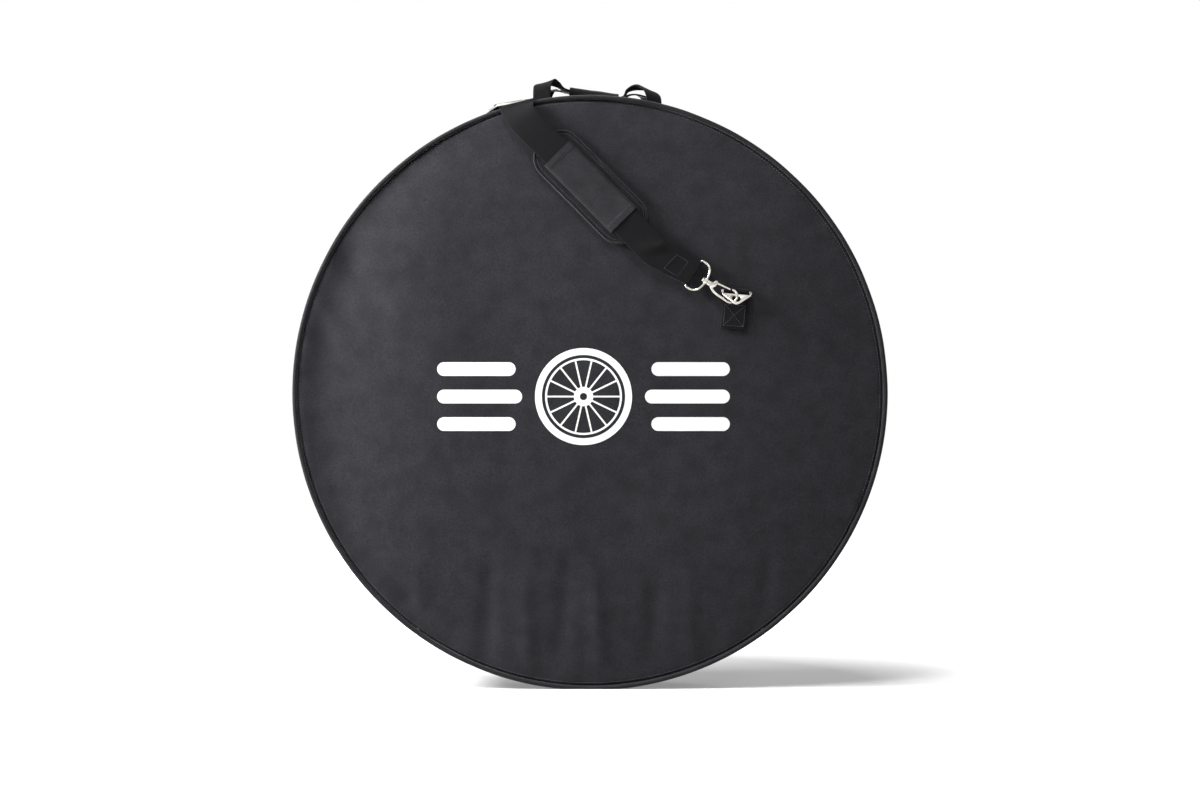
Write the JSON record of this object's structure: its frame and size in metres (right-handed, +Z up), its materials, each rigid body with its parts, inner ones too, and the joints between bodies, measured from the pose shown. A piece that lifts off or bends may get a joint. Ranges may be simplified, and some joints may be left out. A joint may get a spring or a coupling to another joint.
{
  "type": "bike wheel bag",
  "caption": "Round padded bag for one bicycle wheel: zipped gusset, fold-down front panel, two carry handles and a padded shoulder strap on swivel hooks.",
  "frame": {"origin": "middle of the flat foot of the gusset, where the bag stands on the floor", "axes": "+Z up; -Y out of the front panel, along the wheel's axle line; +X to the right seen from the front"},
  "size_m": [0.74, 0.1549, 0.76],
  "materials": {
    "outer_fabric": "woven polyester, matt",
    "foam": "closed-cell padding, taken as soft fabric",
    "lining": "smooth woven lining, matt",
    "piping": "bias tape over a cord",
    "zip_black": "woven tape and nylon coil, black",
    "pad_fabric": "woven polyester, bound edge",
    "nickel": "nickel plated, bright",
    "webbing": "woven polypropylene webbing, matt"
  },
  "bodies": {
    "bag_body": {"base_gusset_fabric": "outer_fabric", "base_gusset_foam": "foam", "base_gusset_lining": "lining", "front_sill_fabric": "outer_fabric", "front_sill_foam": "foam", "front_sill_lining": "lining", "front_sill_piping": "piping", "handle_rear": "webbing", "rear_anchor_tab": "webbing", "rear_hook_bow": "nickel", "rear_panel_fabric": "outer_fabric", "rear_panel_foam": "foam", "rear_panel_lining": "lining", "rear_piping": "piping", "strap_webbing_rear": "webbing", "zip_band_rear_fabric": "outer_fabric", "zip_band_rear_lining": "lining", "zip_coil_rear": "zip_black", "zip_stop_closed_end": "nickel", "zip_stop_open_end": "nickel", "zip_tape_rear": "zip_black"},
    "front_cover": {"front_anchor_tab": "webbing", "front_hook_bow": "nickel", "front_panel_fabric": "outer_fabric", "front_panel_foam": "foam", "front_panel_lining": "lining", "front_piping": "piping", "handle_front": "webbing", "handle_wrap": "webbing", "strap_over_rim": "webbing", "strap_webbing_front": "webbing", "tri_glide": "nickel", "zip_band_front_fabric": "outer_fabric", "zip_band_front_lining": "lining", "zip_coil_front": "zip_black", "zip_tape_front": "zip_black"},
    "zip_slider": {"zip_slider": "nickel"},
    "zip_pull": {"zip_pull": "nickel"},
    "strap_pad": {"strap_pad": "pad_fabric", "strap_pad_sleeve": "pad_fabric"},
    "front_ring": {"front_ring": "nickel"},
    "front_hook": {"front_hook_claw": "nickel", "front_gate_pin": "nickel"},
    "front_gate": {"front_hook_gate": "nickel"},
    "rear_ring": {"rear_ring": "nickel"},
    "rear_hook": {"rear_hook_claw": "nickel", "rear_gate_pin": "nickel"},
    "rear_gate": {"rear_hook_gate": "nickel"}
  },
  "joints": [
    {"name": "cover_hinge", "type": "hinge", "parent": "bag_body", "child": "front_cover", "pos_m": [0, -0.056, 0.0685], "axis": [1, 0, 0], "range_deg": [0, 30], "deforming": ["strap_over_rim"]},
    {"name": "zip_run", "type": "hinge", "parent": "bag_body", "child": "zip_slider", "pos_m": [0, 0, 0.36783], "axis": [0, -1, 0], "range_deg": [0, 278]},
    {"name": "pull_swing", "type": "hinge", "parent": "zip_slider", "child": "zip_pull", "pos_m": [0.22848, 0, 0.08473], "axis": [0, 1, 0], "range_deg": [0, 110]},
    {"name": "pad_slide", "type": "slide", "parent": "front_cover", "child": "strap_pad", "axis": [-0.7034, 0.0327, 0.71], "range_m": [-0.03, 0.03]},
    {"name": "front_ring_swing", "type": "hinge", "parent": "front_cover", "child": "front_ring", "pos_m": [0.18113, -0.0617, 0.49312], "axis": [0.9957, 0.0307, -0.0879], "range_deg": [-3, 3]},
    {"name": "front_hook_swivel", "type": "hinge", "parent": "front_cover", "child": "front_hook", "pos_m": [0.12785, -0.06462, 0.51533], "axis": [0.8371, -0.0894, -0.5398], "range_deg": [-5, 5]},
    {"name": "front_gate_swing", "type": "hinge", "parent": "front_hook", "child": "front_gate", "pos_m": [0.15562, -0.06845, 0.50346], "axis": [0.194, 0.971, 0.1401], "range_deg": [0, 12], "stiffness_Nm_per_rad": 0.02, "springref_deg": -11.46},
    {"name": "rear_ring_swing", "type": "hinge", "parent": "bag_body", "child": "rear_ring", "pos_m": [-0.18113, 0.0617, 0.49312], "axis": [-0.629, -0.003, -0.7774], "range_deg": [-3, 3]},
    {"name": "rear_hook_swivel", "type": "hinge", "parent": "bag_body", "child": "rear_hook", "pos_m": [-0.16005, 0.06284, 0.54693], "axis": [-0.1931, 0.1204, -0.9738], "range_deg": [-5, 5]},
    {"name": "rear_gate_swing", "type": "hinge", "parent": "rear_hook", "child": "rear_gate", "pos_m": [-0.17079, 0.06761, 0.51884], "axis": [-0.2417, -0.9677, -0.0717], "range_deg": [0, 12], "stiffness_Nm_per_rad": 0.02, "springref_deg": -11.46}
  ]
}
